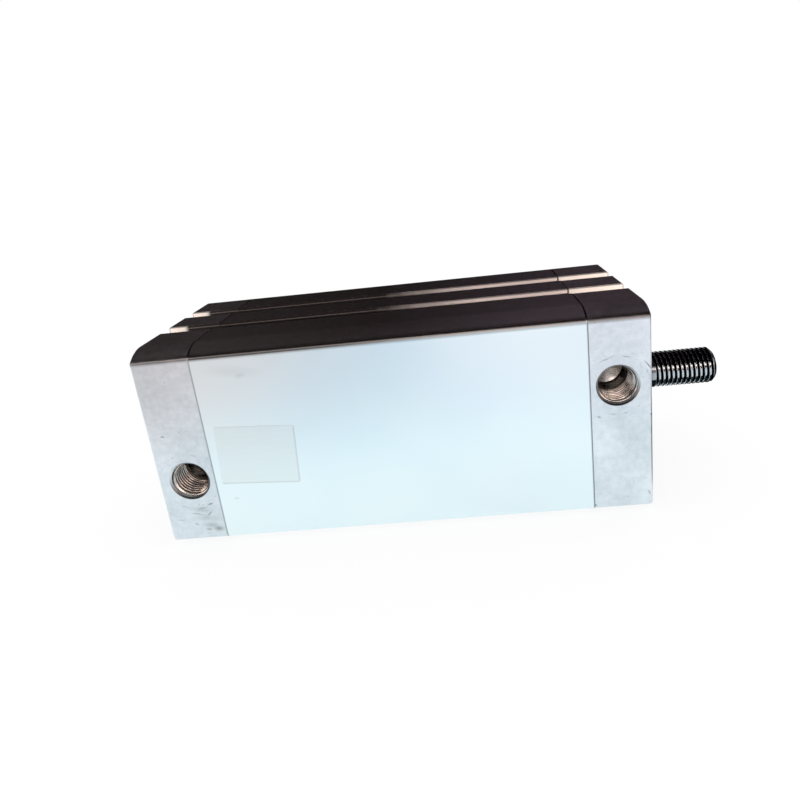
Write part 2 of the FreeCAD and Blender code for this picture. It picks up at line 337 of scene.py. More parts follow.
# Inside of the sensor slots: left rough by the die and the cutter, so it scatters light warmly.
# It is painted dark as shade along the middle and rear, under the lips and along the upper edge.
# A painted highlight line along the lip takes off a little of that shade.
# Depth is how far out the point lies on the slotted sides, across is how near it lies to the
# middle of its side. The barrel's slots have lips, the caps' milled channels have none.
barrelSlots = {
    "depth": (20.3, 27.24),
    "across": 13.0,
    "cleanUnshaded": "#fbe9e1",
    "darkOilAndShade": "#231d1c",
    "underLip": (25.95, 26.1),
    "upperEdge": (26.8, 27.0),
    "upperShade": 0.75,
    "lipLine": 26.5,
    "lipReach": (0.03, 0.15),
    "lipShade": 0.8,
    # painted shade fills the slots between the rear and front stops and fades out past them
    "shadeFront": (-66.0, -38.0),
    "shadeRear": (-120.6, -119.4),
    "dustAndShade": 3.0,
    "drift": 5.0,
    "roughness": 0.8,
    "metallic": 0.25,
}
capSlots = dict(barrelSlots)
capSlots["cleanUnshaded"] = "#fff3ea"
capSlots["underLip"] = (20.0, 20.1)
capSlots["metallic"] = 0.1
# Dirt in the joints between barrel and caps, and on the broken edges at the ends of the slots.
# Both are measured from the middle of the body. The joint is wiped clean on the port face.
jointDirt = {
    "middle": -bodyLength / 2,
    "seam": 47.8,
    "seamWidth": (0.12, 0.26),
    "end": bodyLength / 2,
    "endWidth": (0.4, 0.15),
    "endDirt": 0.45,
    "endSkin": 0.02,  # the end faces stay clean
    "wiped": "#b3c0c4",
    "caked": "#18181a",
    "wipedDepth": (0.1, 0.9),
}


def seamLines(tree, place, s):
    axes = addNode(tree, "SeparateXYZ", None, {"Vector": place})
    along = addNode(tree, "Math", {"operation": "SUBTRACT"}, {0: axes.outputs["X"], 1: s["middle"]})
    apart = addNode(tree, "Math", {"operation": "ABSOLUTE"}, {0: along})
    off = addNode(tree, "Math", {"operation": "SUBTRACT"}, {0: apart, 1: s["seam"]})
    away = addNode(tree, "Math", {"operation": "ABSOLUTE"}, {0: off})
    seam = addNode(tree, "MapRange", None, {
        "Value": away, "From Min": s["seamWidth"][0], "From Max": s["seamWidth"][1],
        "To Min": 1.0, "To Max": 0.0})
    end = addNode(tree, "MapRange", None, {
        "Value": apart,
        "From Min": s["end"] - s["endWidth"][0], "From Max": s["end"] - s["endWidth"][1],
        "To Max": s["endDirt"]})
    short = addNode(tree, "Math", {"operation": "LESS_THAN"}, {0: apart, 1: s["end"] - s["endSkin"]})
    inwards = addNode(tree, "MapRange", None, {
        "Value": axes.outputs["Y"],
        "From Min": portFace + s["wipedDepth"][0], "From Max": portFace + s["wipedDepth"][1]})
    dirt = addNode(tree, "MixRGB", None, {"Fac": inwards, "Color1": s["wiped"], "Color2": s["caked"]})
    return seam, end, short, dirt


# Lays the slot lining, its painted shade and the joint dirt over a finish: gives colour, roughness and
# metallic
def slotLining(tree, place, outer, satin, s):
    axes = addNode(tree, "SeparateXYZ", None, {"Vector": place})
    sideways = addNode(tree, "Math", {"operation": "ABSOLUTE"}, {0: axes.outputs["Y"]})
    upright = addNode(tree, "Math", {"operation": "ABSOLUTE"}, {0: axes.outputs["Z"]})
    depth = addNode(tree, "Math", {"operation": "MAXIMUM"}, {0: upright, 1: axes.outputs["Y"]})
    across = addNode(tree, "Math", {"operation": "MINIMUM"}, {0: upright, 1: sideways})
    below = addNode(tree, "Math", {"operation": "LESS_THAN"}, {0: depth, 1: s["depth"][1]})
    above = addNode(tree, "Math", {"operation": "GREATER_THAN"}, {0: depth, 1: s["depth"][0]})
    seam, end, short, dirt = seamLines(tree, place, jointDirt)
    inSlot = addNode(tree, "Math", {"operation": "LESS_THAN"}, {0: across, 1: s["across"]})
    for limit in (below, above, short):
        inSlot = addNode(tree, "Math", {"operation": "MULTIPLY"}, {0: inSlot, 1: limit})
    # painted shade that ends unevenly towards the front, lighter on a painted highlight line along the lip
    dustAndShade = addNode(tree, "TexNoise", None, {"Vector": place, "Scale": 1 / s["dustAndShade"], "Detail": 4.0})
    drift = addNode(tree, "MapRange", None, {"Value": dustAndShade, "To Min": -s["drift"], "To Max": s["drift"]})
    along = addNode(tree, "Math", {"operation": "ADD"}, {0: axes.outputs["X"], 1: drift})
    front = addNode(tree, "MapRange", None, {
        "Value": along, "From Min": s["shadeFront"][0], "From Max": s["shadeFront"][1],
        "To Min": 1.0, "To Max": 0.0})
    rear = addNode(tree, "MapRange", None, {
        "Value": axes.outputs["X"], "From Min": s["shadeRear"][0], "From Max": s["shadeRear"][1]})
    offLine = addNode(tree, "Math", {"operation": "SUBTRACT"}, {0: depth, 1: s["lipLine"]})
    offLine = addNode(tree, "Math", {"operation": "ABSOLUTE"}, {0: offLine})
    lessShadeOnLip = addNode(tree, "MapRange", None, {
        "Value": offLine, "From Min": s["lipReach"][0], "From Max": s["lipReach"][1],
        "To Min": s["lipShade"]})
    oilAndShade = addNode(tree, "Math", {"operation": "MULTIPLY"}, {0: front, 1: rear})
    oilAndShade = addNode(tree, "Math", {"operation": "MULTIPLY"}, {0: oilAndShade, 1: lessShadeOnLip})
    # painted shade under the lip, and a painted shadow line along the upper edge
    underLip = addNode(tree, "MapRange", None, {
        "Value": depth, "From Min": s["underLip"][0], "From Max": s["underLip"][1],
        "To Min": 1.0, "To Max": 0.0})
    upperEdge = addNode(tree, "MapRange", None, {
        "Value": depth, "From Min": s["upperEdge"][0], "From Max": s["upperEdge"][1],
        "To Max": s["upperShade"]})
    for layer in (underLip, upperEdge, seam, end):
        oilAndShade = addNode(tree, "Math", {"operation": "MAXIMUM"}, {0: oilAndShade, 1: layer})
    tone = addNode(tree, "MixRGB", None, {"Fac": oilAndShade, "Color1": s["cleanUnshaded"], "Color2": s["darkOilAndShade"]})
    colour = addNode(tree, "MixRGB", None, {"Fac": inSlot, "Color1": outer, "Color2": tone})
    colour = addNode(tree, "MixRGB", None, {"Fac": seam, "Color1": colour, "Color2": dirt})
    rough = addNode(tree, "MapRange", None, {"Value": inSlot, "To Min": satin, "To Max": s["roughness"]})
    metal = addNode(tree, "MapRange", None, {"Value": inSlot, "To Min": 1.0, "To Max": s["metallic"]})
    return colour, rough, metal


# Handling marks on the port face: each is a thin ellipse, from X, Z to X, Z in mm, with half its
# width in mm and its strength, and fades out across its edge. The strongest mark at a point counts.
markShape = {
    "depth": 0.5,
    "fade": (0.1, 1.4),
}


def handlingMarks(tree, place, marks, s):
    worn = 0.0
    for x1, z1, x2, z2, halfWidth, strength in marks:
        local = addNode(tree, "Mapping", {"vector_type": "TEXTURE"}, {
            "Vector": place,
            "Location": ((x1 + x2) / 2, portFace, (z1 + z2) / 2),
            "Rotation": (0, math.atan2(z1 - z2, x2 - x1), 0),
            "Scale": (math.hypot(x2 - x1, z2 - z1) / 2, s["depth"], halfWidth)})
        reach = addNode(tree, "VectorMath", {"operation": "LENGTH"}, {0: local})
        mark = addNode(tree, "MapRange", None, {
            "Value": reach.outputs["Value"], "From Min": s["fade"][0], "From Max": s["fade"][1],
            "To Min": strength, "To Max": 0.0})
        worn = addNode(tree, "Math", {"operation": "MAXIMUM"}, {0: worn, 1: mark})
    return worn


# Painted shade in the rounded crease above the port face: a soft dark line along it
creaseShade = {
    "outer": (23.7, 24.6),
    "inner": (25.1, 25.7),
    "face": -25.5,
    "colour": "#433a3b",
    "strength": {"barrel": 0.8, "bearing_cap": 0.8, "end_cap": 0.55},
}


def paintedCreaseShade(tree, place, tone, node, s):
    axes = addNode(tree, "SeparateXYZ", None, {"Vector": place})
    outer = addNode(tree, "MapRange", None, {
        "Value": axes.outputs["Z"], "From Min": s["outer"][0], "From Max": s["outer"][1],
        "To Max": s["strength"][node]})
    inner = addNode(tree, "MapRange", None, {
        "Value": axes.outputs["Z"], "From Min": s["inner"][0], "From Max": s["inner"][1],
        "To Min": 1.0, "To Max": 0.0})
    front = addNode(tree, "Math", {"operation": "LESS_THAN"}, {0: axes.outputs["Y"], 1: s["face"]})
    line = addNode(tree, "Math", {"operation": "MULTIPLY"}, {0: outer, 1: inner})
    line = addNode(tree, "Math", {"operation": "MULTIPLY"}, {0: line, 1: front})
    return addNode(tree, "MixRGB", None, {"Fac": line, "Color1": tone, "Color2": s["colour"]})


# Extruded aluminium, satin etched and clear anodised: a pale, bluish white, soft mirror with
# slow clouds in the film and faint lines along the draw of the die
extrusion = {
    "tones": ("#e3f8ff", "#eafcff"),
    "cloud": 30.0,
    "film": (0.3, 0.7),
    "dieLine": (70.0, 0.4),
    "grain": 0.3,
    "bump": (0.25, 0.004),
    "roughness": (0.27, 0.29),
    "scuff": "#7d888c",
}
barrelMarks = [
    (-108.4, -9.5, -107.2, -9.5, 0.2, 0.4),
    (-106.4, -13.9, -105.2, -14.1, 0.25, 0.3),
    (-99.8, 19.2, -97.0, 19.6, 0.7, 0.2),
    (-106.1, 21.2, -94.2, 19.8, 1.4, 0.1),
]


def anodisedExtrusion(s):
    material, tree, place = startMaterial("anodised_extrusion")
    cloud = addNode(tree, "TexNoise", None, {"Vector": place, "Scale": 1 / s["cloud"], "Detail": 2.0})
    length, width = s["dieLine"]
    drawn = addNode(tree, "Mapping", None, {"Vector": place, "Scale": (1 / length, 1 / width, 1 / width)})
    lines = addNode(tree, "TexNoise", None, {"Vector": drawn, "Scale": 1.0, "Detail": 2.0})
    grain = addNode(tree, "TexNoise", None, {"Vector": place, "Scale": 1 / s["grain"], "Detail": 2.0})
    film = addNode(tree, "MapRange", None, {
        "Value": cloud, "From Min": s["film"][0], "From Max": s["film"][1]})
    tone = addNode(tree, "MixRGB", None, {"Fac": film, "Color1": s["tones"][0], "Color2": s["tones"][1]})
    worn = handlingMarks(tree, place, barrelMarks, markShape)
    tone = addNode(tree, "MixRGB", None, {"Fac": worn, "Color1": tone, "Color2": s["scuff"]})
    # painted shade along the rounded crease
    tone = paintedCreaseShade(tree, place, tone, "barrel", creaseShade)
    satin = addNode(tree, "MapRange", None, {
        "Value": lines, "To Min": s["roughness"][0], "To Max": s["roughness"][1]})
    colour, rough, metal = slotLining(tree, place, tone, satin, barrelSlots)
    bump = addNode(tree, "Bump", None, {
        "Strength": s["bump"][0], "Distance": s["bump"][1] * mm, "Height": grain})
    addSurface(tree, {"Base Color": colour, "Metallic": metal, "Roughness": rough, "Normal": bump})
    return material


# Cast, machined and tumbled aluminium cap, clear anodised: greyer and duller than the barrel,
# finely mottled, with dark handling scratches and a ring of scuffs where a fitting was tightened.
# In the port, depths are from the port face.
capFinish = {
    "tones": ("#c8d8df", "#e8f5fc"),
    "mottle": 1.7,
    "patch": 13.0,
    "cloudy": (0.65, 1.35),
    "bump": (0.4, 0.01),
    "roughness": (0.30, 0.42),
    "scuff": "#57615e",
    "scuffRing": (7.1, 7.9),
    "scuffBreaks": (0.52, 0.7),
    "scuffStrength": 0.5,
    "faceSkin": 0.05,
    "pit": 0.9,
    "pitted": (0.7, 0.78),
    "pitStrength": 0.3,
    "portRadius": 5.35,
    "portStart": 0.7,
    # from here in, the drilled wall is painted dark as shade
    "portShade": (11.2, 12.0),
    "portFloor": 12.9,
    "portEnd": 16.0,
    "tappedWall": "#98928b",
    "drilledWall": "#4a3d35",
    "drilledFloor": "#fafdff",
    "drilledRough": 0.2,
    "mouthRadius": 5.42,
    "mouthStart": 0.02,
    # painted shade in the lower half of the port mouth
    "mouthShade": "#453c38",
    "mouthStrength": 0.8,
    "mouthShare": (-2.0, 2.0),
}
bearingCapMarks = [
    (-12.0, 14.4, -9.6, 15.2, 0.16, 0.55),
    (-6.9, 15.3, -5.0, 14.9, 0.16, 0.6),
    (-2.7, 12.9, -2.4, 11.8, 0.12, 0.3),
    (-1.65, 13.6, 0.1, 11.2, 0.15, 0.9),
    (-13.2, 0.3, -12.4, 0.0, 0.22, 0.7),
    (-0.6, -0.1, 0.2, -0.4, 0.25, 0.8),
    (-1.3, -20.9, -0.7, -22.2, 0.25, 0.5),
    (-6.7, -22.2, -5.9, -22.4, 0.18, 0.35),
    (-14.7, -24.0, -14.1, -24.4, 0.3, 0.7),
]
endCapMarks = [
    (-121.7, 4.95, -120.7, 4.85, 0.2, 0.75),
    (-120.8, -15.0, -118.3, -15.8, 0.14, 0.4),
    (-117.0, -16.3, -113.9, -15.8, 0.18, 0.65),
    (-113.8, -15.3, -112.3, -14.8, 0.24, 0.8),
    (-118.6, -17.3, -115.3, -18.0, 0.18, 0.6),
    (-114.4, -18.5, -113.1, -17.2, 0.22, 0.65),
    (-122.5, -19.1, -120.8, -19.2, 0.16, 0.4),
    (-118.3, -20.5, -117.2, -20.9, 0.22, 0.45),
    (-113.6, -22.2, -110.9, -22.6, 0.75, 0.6),
    (-118.6, -16.1, -113.0, -16.9, 0.8, 0.3),
    (-117.6, -18.6, -112.4, -19.4, 0.9, 0.22),
    (-116.2, -20.9, -111.6, -21.6, 0.8, 0.32),
    (-115.6, -22.3, -114.0, -22.6, 0.35, 0.5),
]


def cappedAluminium(node, port, marks, s):
    material, tree, place = startMaterial("anodised_" + node)
    mottle = addNode(tree, "TexNoise", None, {
        "Vector": place, "Scale": 1 / s["mottle"], "Detail": 5.0, "Roughness": 0.62})
    patch = addNode(tree, "TexNoise", None, {"Vector": place, "Scale": 1 / s["patch"], "Detail": 2.0})
    blotch = addNode(tree, "Math", {"operation": "ADD"}, {0: mottle, 1: patch})
    cloudy = addNode(tree, "MapRange", None, {
        "Value": blotch, "From Min": s["cloudy"][0], "From Max": s["cloudy"][1]})
    tone = addNode(tree, "MixRGB", None, {"Fac": cloudy, "Color1": s["tones"][0], "Color2": s["tones"][1]})
    # painted shade along the rounded crease
    tone = paintedCreaseShade(tree, place, tone, node, creaseShade)
    satin = addNode(tree, "MapRange", None, {
        "Value": mottle, "To Min": s["roughness"][0], "To Max": s["roughness"][1]})
    colour, rough, metal = slotLining(tree, place, tone, satin, capSlots)
    axes = addNode(tree, "SeparateXYZ", None, {"Vector": place})
    inwards = addNode(tree, "Math", {"operation": "SUBTRACT"}, {0: axes.outputs["Y"], 1: portFace})
    flat = addNode(tree, "Mapping", None, {"Vector": place, "Scale": (1, 0, 1)})
    away = addNode(tree, "VectorMath", {"operation": "DISTANCE"}, {0: flat, 1: (port[0], 0, port[1])})
    fromAxis = away.outputs["Value"]
    # ring of scuffs round the port, broken up by the mottle
    middle = sum(s["scuffRing"]) / 2
    offRing = addNode(tree, "Math", {"operation": "SUBTRACT"}, {0: fromAxis, 1: middle})
    offRing = addNode(tree, "Math", {"operation": "ABSOLUTE"}, {0: offRing})
    ring = addNode(tree, "MapRange", None, {
        "Value": offRing, "From Max": s["scuffRing"][1] - middle,
        "To Min": s["scuffStrength"], "To Max": 0.0})
    broken = addNode(tree, "MapRange", None, {
        "Value": mottle, "From Min": s["scuffBreaks"][0], "From Max": s["scuffBreaks"][1]})
    onFace = addNode(tree, "Math", {"operation": "LESS_THAN"}, {0: inwards, 1: s["faceSkin"]})
    worn = addNode(tree, "Math", {"operation": "MULTIPLY"}, {0: ring, 1: broken})
    worn = addNode(tree, "Math", {"operation": "MULTIPLY"}, {0: worn, 1: onFace})
    # sparse pits
    pits = addNode(tree, "TexNoise", None, {"Vector": place, "Scale": 1 / s["pit"], "Detail": 2.0})
    pitted = addNode(tree, "MapRange", None, {
        "Value": pits, "From Min": s["pitted"][0], "From Max": s["pitted"][1], "To Max": s["pitStrength"]})
    for wear in (handlingMarks(tree, place, marks, markShape), pitted):
        worn = addNode(tree, "Math", {"operation": "MAXIMUM"}, {0: worn, 1: wear})
    colour = addNode(tree, "MixRGB", None, {"Fac": worn, "Color1": colour, "Color2": s["scuff"]})
    # painted shade in the lower half of the countersunk mouth
    deep = addNode(tree, "Math", {"operation": "GREATER_THAN"}, {0: inwards, 1: s["portStart"]})
    sunk = addNode(tree, "Math", {"operation": "GREATER_THAN"}, {0: inwards, 1: s["mouthStart"]})
    rim = addNode(tree, "Math", {"operation": "SUBTRACT"}, {0: sunk, 1: deep})
    mouth = addNode(tree, "Math", {"operation": "LESS_THAN"}, {0: fromAxis, 1: s["mouthRadius"]})
    lower = addNode(tree, "MapRange", None, {
        "Value": axes.outputs["Z"],
        "From Min": port[1] + s["mouthShare"][0], "From Max": port[1] + s["mouthShare"][1],
        "To Min": s["mouthStrength"], "To Max": 0.0})
    shadedMouth = addNode(tree, "Math", {"operation": "MULTIPLY"}, {0: mouth, 1: rim})
    shadedMouth = addNode(tree, "Math", {"operation": "MULTIPLY"}, {0: shadedMouth, 1: lower})
    colour = addNode(tree, "MixRGB", None, {"Fac": shadedMouth, "Color1": colour, "Color2": s["mouthShade"]})
    # the drilled port: wall rubbed bright by the tap, then painted dark as shade deeper in, and a bright
    # floor
    darkOilAndShade = addNode(tree, "MapRange", None, {
        "Value": inwards, "From Min": s["portShade"][0], "From Max": s["portShade"][1]})
    hole = addNode(tree, "MixRGB", None, {
        "Fac": darkOilAndShade, "Color1": s["tappedWall"], "Color2": s["drilledWall"]})
    floor = addNode(tree, "Math", {"operation": "GREATER_THAN"}, {0: inwards, 1: s["portFloor"]})
    hole = addNode(tree, "MixRGB", None, {"Fac": floor, "Color1": hole, "Color2": s["drilledFloor"]})
    inside = addNode(tree, "Math", {"operation": "LESS_THAN"}, {0: fromAxis, 1: s["portRadius"]})
    shallow = addNode(tree, "Math", {"operation": "LESS_THAN"}, {0: inwards, 1: s["portEnd"]})
    drilled = addNode(tree, "Math", {"operation": "MULTIPLY"}, {0: inside, 1: deep})
    drilled = addNode(tree, "Math", {"operation": "MULTIPLY"}, {0: drilled, 1: shallow})
    colour = addNode(tree, "MixRGB", None, {"Fac": drilled, "Color1": colour, "Color2": hole})
    rough = addNode(tree, "MapRange", None, {"Value": drilled, "To Min": rough, "To Max": s["drilledRough"]})
    bump = addNode(tree, "Bump", None, {
        "Strength": s["bump"][0], "Distance": s["bump"][1] * mm, "Height": mottle})
    addSurface(tree, {"Base Color": colour, "Metallic": metal, "Roughness": rough, "Normal": bump})
    return material


# Tapped aluminium, bare and oiled: warm grey, smeared with old oil, and pale where the lead-in
# at the mouth kept its anodised film
tappedFinish = {
    "tones": ("#7c7a78", "#e2dfd8"),
    "smear": 4.0,
    "oiled": (0.3, 0.65),
    "leadIn": "#bac6ca",
    "leadDepth": (0.75, 1.3),
    "roughness": (0.18, 0.27),
}


def tappedAluminium(s):
    material, tree, place = startMaterial("tapped_aluminium_oiled")
    smear = addNode(tree, "TexNoise", None, {"Vector": place, "Scale": 1 / s["smear"], "Detail": 4.0})
    oiled = addNode(tree, "MapRange", None, {
        "Value": smear, "From Min": s["oiled"][0], "From Max": s["oiled"][1]})
    tone = addNode(tree, "MixRGB", None, {"Fac": oiled, "Color1": s["tones"][0], "Color2": s["tones"][1]})
    axes = addNode(tree, "SeparateXYZ", None, {"Vector": place})
    tapped = addNode(tree, "MapRange", None, {
        "Value": axes.outputs["Y"],
        "From Min": portFace + s["leadDepth"][0], "From Max": portFace + s["leadDepth"][1]})
    tone = addNode(tree, "MixRGB", None, {"Fac": tapped, "Color1": s["leadIn"], "Color2": tone})
    rough = addNode(tree, "MapRange", None, {
        "Value": smear, "To Min": s["roughness"][1], "To Max": s["roughness"][0]})
    addSurface(tree, {"Base Color": tone, "Metallic": 1.0, "Roughness": rough})
    return material


# Stainless bar, ground and polished, with a rolled thread: bright crests, roots painted dark as shade and
# oil, and fine grinding lines round the bar, drawn three times as coarse as they are so that they show
rodFinish = {
    "steel": ("#b3bfc6", "#cfdbe1"),
    # dark of the neck's oil film and of the painted shade in the thread roots
    "oilAndShade": "#15110f",
    "rootToCrest": (4.6, 4.88),
    "thread": (7.05, 25.05),
    "neck": (7.0, 9.5),
    "neckFilm": 0.55,
    "grinding": (0.25, 25.0),
    "roughness": (0.10, 0.17),
}


def groundSteel(s):
    material, tree, place = startMaterial("ground_rod_steel")
    width, length = s["grinding"]
    ground = addNode(tree, "Mapping", None, {"Vector": place, "Scale": (1 / width, 1 / length, 1 / length)})
    lines = addNode(tree, "TexNoise", None, {"Vector": ground, "Scale": 1.0, "Detail": 3.0})
    steel = addNode(tree, "MixRGB", None, {"Fac": lines, "Color1": s["steel"][0], "Color2": s["steel"][1]})
    # a thin film of oil on the neck, wiped off towards the thread
    axes = addNode(tree, "SeparateXYZ", None, {"Vector": place})
    film = addNode(tree, "MapRange", None, {
        "Value": axes.outputs["X"], "From Min": s["neck"][0], "From Max": s["neck"][1],
        "To Min": s["neckFilm"], "To Max": 0.0})
    steel = addNode(tree, "MixRGB", None, {"Fac": film, "Color1": steel, "Color2": s["oilAndShade"]})
    # painted shade and oil in the roots of the thread and on the tip chamfer
    section = addNode(tree, "Mapping", None, {"Vector": place, "Scale": (0, 1, 1)})
    radius = addNode(tree, "VectorMath", {"operation": "LENGTH"}, {0: section})
    cleanUnshaded = addNode(tree, "MapRange", {"interpolation_type": "SMOOTHSTEP"}, {
        "Value": radius.outputs["Value"],
        "From Min": s["rootToCrest"][0], "From Max": s["rootToCrest"][1]})
    behind = addNode(tree, "Math", {"operation": "LESS_THAN"}, {0: axes.outputs["X"], 1: s["thread"][0]})
    ahead = addNode(tree, "Math", {"operation": "GREATER_THAN"}, {0: axes.outputs["X"], 1: s["thread"][1]})
    for bare in (behind, ahead):
        cleanUnshaded = addNode(tree, "Math", {"operation": "MAXIMUM"}, {0: cleanUnshaded, 1: bare})
    tone = addNode(tree, "MixRGB", None, {"Fac": cleanUnshaded, "Color1": s["oilAndShade"], "Color2": steel})
    rough = addNode(tree, "MapRange", None, {
        "Value": lines, "To Min": s["roughness"][0], "To Max": s["roughness"][1]})
    addSurface(tree, {"Base Color": tone, "Metallic": 1.0, "Roughness": rough})
    return material


# Steel, zinc plated and blue passivated: bluish grey with faint warm clouds and a fine dull grain
zincFinish = {
    "tones": ("#aab4bd", "#c9cbc6"),
    "cloud": 3.5,
    "film": (0.35, 0.65),
    "grain": 0.35,
    "bump": (0.5, 0.01),
    "roughness": (0.26, 0.42),
}


def zincPlatedSteel(s):
    material, tree, place = startMaterial("zinc_plated_steel")
    cloud = addNode(tree, "TexNoise", None, {"Vector": place, "Scale": 1 / s["cloud"], "Detail": 3.0})
    grain = addNode(tree, "TexNoise", None, {"Vector": place, "Scale": 1 / s["grain"], "Detail": 2.0})
    film = addNode(tree, "MapRange", None, {
        "Value": cloud, "From Min": s["film"][0], "From Max": s["film"][1]})
    tone = addNode(tree, "MixRGB", None, {"Fac": film, "Color1": s["tones"][0], "Color2": s["tones"][1]})
    rough = addNode(tree, "MapRange", None, {
        "Value": grain, "To Min": s["roughness"][0], "To Max": s["roughness"][1]})
    bump = addNode(tree, "Bump", None, {
        "Strength": s["bump"][0], "Distance": s["bump"][1] * mm, "Height": grain})
    addSurface(tree, {"Base Color": tone, "Metallic": 1.0, "Roughness": rough, "Normal": bump})
    return material


# Moulded elastomers and plastics: one matt colour with slow clouds and the grain of the mould
mouldedFinishes = {
    "nitrile_rubber": {
        "pieces": ("front_barrel_o_ring", "rear_barrel_o_ring", "piston_o_ring"),
        "tones": ("#161617", "#242426"), "cloud": 2.5, "grain": 0.3, "roughness": (0.42, 0.56)},
    "polyurethane_seal": {
        "pieces": ("rod_wiper_seal", "piston_front_seal", "piston_rear_seal"),
        "tones": ("#20282c", "#2f3a3f"), "cloud": 3.0, "grain": 0.35, "roughness": (0.34, 0.46)},
    "polyurethane_buffer": {
        "pieces": ("front_buffer", "rear_buffer"),
        "tones": ("#4b4c4f", "#5d5e62"), "cloud": 5.0, "grain": 0.5, "roughness": (0.3, 0.42)},
    "acetal_guide_band": {
        "pieces": ("piston_guide_ring",),
        "tones": ("#dcd8cb", "#e9e6dc"), "cloud": 6.0, "grain": 0.4, "roughness": (0.32, 0.44)},
    "bonded_ferrite": {
        "pieces": ("piston_magnet",),
        "tones": ("#2b2a2a", "#4a4746"), "cloud": 0.5, "grain": 0.2, "roughness": (0.5, 0.66)},
}
mouldedBump = (0.4, 0.02)


def mouldedPolymer(name, s):
    material, tree, place = startMaterial(name)
    cloud = addNode(tree, "TexNoise", None, {"Vector": place, "Scale": 1 / s["cloud"], "Detail": 4.0})
    grain = addNode(tree, "TexNoise", None, {"Vector": place, "Scale": 1 / s["grain"], "Detail": 2.0})
    tone = addNode(tree, "MixRGB", None, {"Fac": cloud, "Color1": s["tones"][0], "Color2": s["tones"][1]})
    rough = addNode(tree, "MapRange", None, {
        "Value": grain, "To Min": s["roughness"][0], "To Max": s["roughness"][1]})
    bump = addNode(tree, "Bump", None, {
        "Strength": mouldedBump[0], "Distance": mouldedBump[1] * mm, "Height": grain})
    addSurface(tree, {"Base Color": tone, "Roughness": rough, "Normal": bump})
    return material


# Aluminium piston, turned: fine rings from the tool, one every 0.35 mm, on a bright pale metal
turnedFinish = {
    "tones": ("#c3c7ca", "#dadddf"),
    "feed": 0.35,
    "bump": (0.3, 0.01),
    "roughness": (0.22, 0.36),
}


def turnedAluminium(s):
    material, tree, place = startMaterial("turned_piston_aluminium")
    period = 2 * math.pi / 20  # length of one band of the wave texture at scale 1
    wave = addNode(tree, "TexWave", {"wave_profile": "SAW"}, {"Vector": place, "Scale": period / s["feed"]})
    rings = wave.outputs["Fac"]
    tone = addNode(tree, "MixRGB", None, {"Fac": rings, "Color1": s["tones"][0], "Color2": s["tones"][1]})
    rough = addNode(tree, "MapRange", None, {
        "Value": rings, "To Min": s["roughness"][0], "To Max": s["roughness"][1]})
    bump = addNode(tree, "Bump", None, {
        "Strength": s["bump"][0], "Distance": s["bump"][1] * mm, "Height": rings})
    addSurface(tree, {"Base Color": tone, "Metallic": 1.0, "Roughness": rough, "Normal": bump})
    return material


# Sintered bronze bush, soaked in oil: brownish gold, finely pitted with dark pores
bronzeFinish = {
    "tones": ("#4b3018", "#a97b45"),
    "pore": 0.3,
    "poreEdge": (0.1, 0.35),
    "bump": (0.4, 0.02),
    "roughness": (0.34, 0.52),
}


def sinteredBronze(s):
    material, tree, place = startMaterial("sintered_bronze")
    pores = addNode(tree, "TexVoronoi", None, {"Vector": place, "Scale": 1 / s["pore"]})
    solid = addNode(tree, "MapRange", None, {
        "Value": pores.outputs["Distance"], "From Min": s["poreEdge"][0], "From Max": s["poreEdge"][1]})
    tone = addNode(tree, "MixRGB", None, {"Fac": solid, "Color1": s["tones"][0], "Color2": s["tones"][1]})
    rough = addNode(tree, "MapRange", None, {
        "Value": solid, "To Min": s["roughness"][1], "To Max": s["roughness"][0]})
    bump = addNode(tree, "Bump", None, {
        "Strength": s["bump"][0], "Distance": s["bump"][1] * mm, "Height": solid})
    addSurface(tree, {"Base Color": tone, "Metallic": 1.0, "Roughness": rough, "Normal": bump})
    return material


# Silver polyester film: close to the barrel in tone, a touch greyer, with faint rubbing, and with
# a line of dust and painted shadow along its right and lower edge
filmFinish = {
    "tones": ("#dff1f4", "#e6f6f9"),
    "rubbing": (9.0, 0.7),
    "dustAndShade": "#cedcdf",
    "dustAndShadeWidth": (0.5, 0.1),
    "roughness": (0.28, 0.34),
}


def silverFilm(s, plate):
    material, tree, place = startMaterial("silver_polyester_film")
    length, width = s["rubbing"]
    rubbed = addNode(tree, "Mapping", None, {"Vector": place, "Scale": (1 / length, 1, 1 / width)})
    streaks = addNode(tree, "TexNoise", None, {"Vector": rubbed, "Scale": 1.0, "Detail": 3.0})
    tone = addNode(tree, "MixRGB", None, {"Fac": streaks, "Color1": s["tones"][0], "Color2": s["tones"][1]})
    local = addNode(tree, "Mapping", {"vector_type": "TEXTURE"}, {
        "Vector": place, "Location": plate["middle"], "Rotation": (0, math.radians(plate["turn"]), 0)})
    axes = addNode(tree, "SeparateXYZ", None, {"Vector": local})
    edge = 0.0
    for axis, size in (("X", plate["size"][0]), ("Z", -plate["size"][1])):
        outwards = addNode(tree, "Math", {"operation": "DIVIDE"}, {0: axes.outputs[axis], 1: size / 2})
        line = addNode(tree, "MapRange", None, {
            "Value": outwards,
            "From Min": 1 - 2 * s["dustAndShadeWidth"][0] / abs(size),
            "From Max": 1 - 2 * s["dustAndShadeWidth"][1] / abs(size)})
        edge = addNode(tree, "Math", {"operation": "MAXIMUM"}, {0: edge, 1: line})
    # dust and painted shadow along the right and lower edge
    dustyAndShaded = addNode(tree, "MixRGB", None, {"Fac": edge, "Color1": tone, "Color2": s["dustAndShade"]})
    rough = addNode(tree, "MapRange", None, {
        "Value": streaks, "To Min": s["roughness"][0], "To Max": s["roughness"][1]})
    addSurface(tree, {"Base Color": dustyAndShaded, "Metallic": 1.0, "Roughness": rough})
    return material


def dress(pieces, material):
    for piece in pieces:
        piece.data.materials.clear()
        piece.data.materials.append(material)


